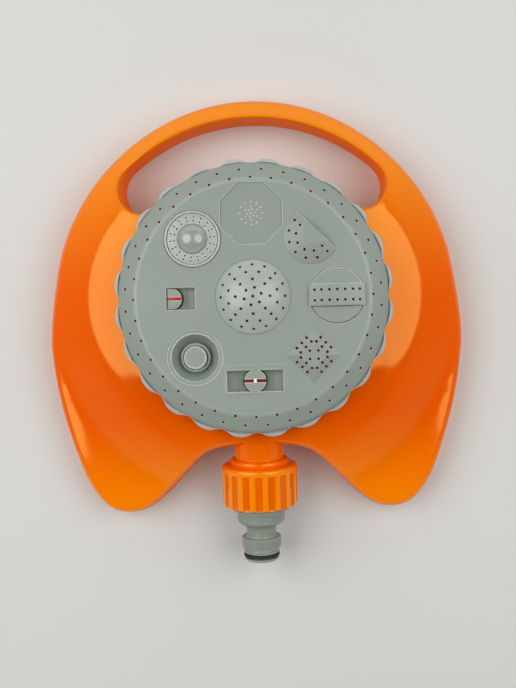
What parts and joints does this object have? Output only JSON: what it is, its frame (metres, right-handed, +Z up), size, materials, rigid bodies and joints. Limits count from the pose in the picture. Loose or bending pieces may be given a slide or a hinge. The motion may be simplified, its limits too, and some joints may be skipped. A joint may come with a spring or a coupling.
{
  "type": "lawn sprinkler",
  "caption": "Lawn sprinkler on a horseshoe-shaped base with a carrying handle, a turning dial of spray patterns and a swivel hose coupling.",
  "frame": {"origin": "middle of the sprinkler's box, on the ground under it", "axes": "+Z up out of the dial's face, +Y from the hose coupling towards the carrying handle, +X to the right seen from above with the handle on top"},
  "size_m": [0.1852, 0.2049, 0.0584],
  "materials": {
    "orange_plastic": "polished injection moulding, orange",
    "grey_plastic": "satin injection moulding, cool grey",
    "red_plastic": "moulded, dark red",
    "dark_plastic": "moulded, dark grey",
    "black_rubber": "moulded rubber",
    "steel": "zinc-plated steel"
  },
  "bodies": {
    "base": {"base_shell": "orange_plastic", "port_seal": "black_rubber", "hub_washer": "steel", "hub_screw": "steel", "retaining_ring": "dark_plastic"},
    "dial": {"dial_body": "grey_plastic", "chamber_plate": "red_plastic", "dial_cover": "grey_plastic", "centre_rose": "grey_plastic", "mist_plate": "grey_plastic", "half_moon_rose": "grey_plastic", "bar_rose": "grey_plastic", "diamond_rose": "grey_plastic", "ring_rose": "grey_plastic", "ring_button": "grey_plastic", "double_fan_pan": "grey_plastic", "single_fan_nozzle": "grey_plastic", "jet_sleeve": "grey_plastic", "jet_nozzle": "grey_plastic"},
    "coupling": {"swivel_nut": "orange_plastic", "inlet_washer": "black_rubber", "inlet_filter": "dark_plastic", "hose_nipple": "grey_plastic", "nipple_o_ring": "black_rubber"}
  },
  "joints": [
    {"name": "dial_turn", "type": "hinge", "parent": "base", "child": "dial", "pos_m": [0, 0.0125, 0.044], "axis": [0, 0, 1], "continuous": true},
    {"name": "coupling_swivel", "type": "hinge", "parent": "base", "child": "coupling", "pos_m": [0, -0.06819, 0.01954], "axis": [0, -0.9962, -0.0872], "continuous": true}
  ]
}
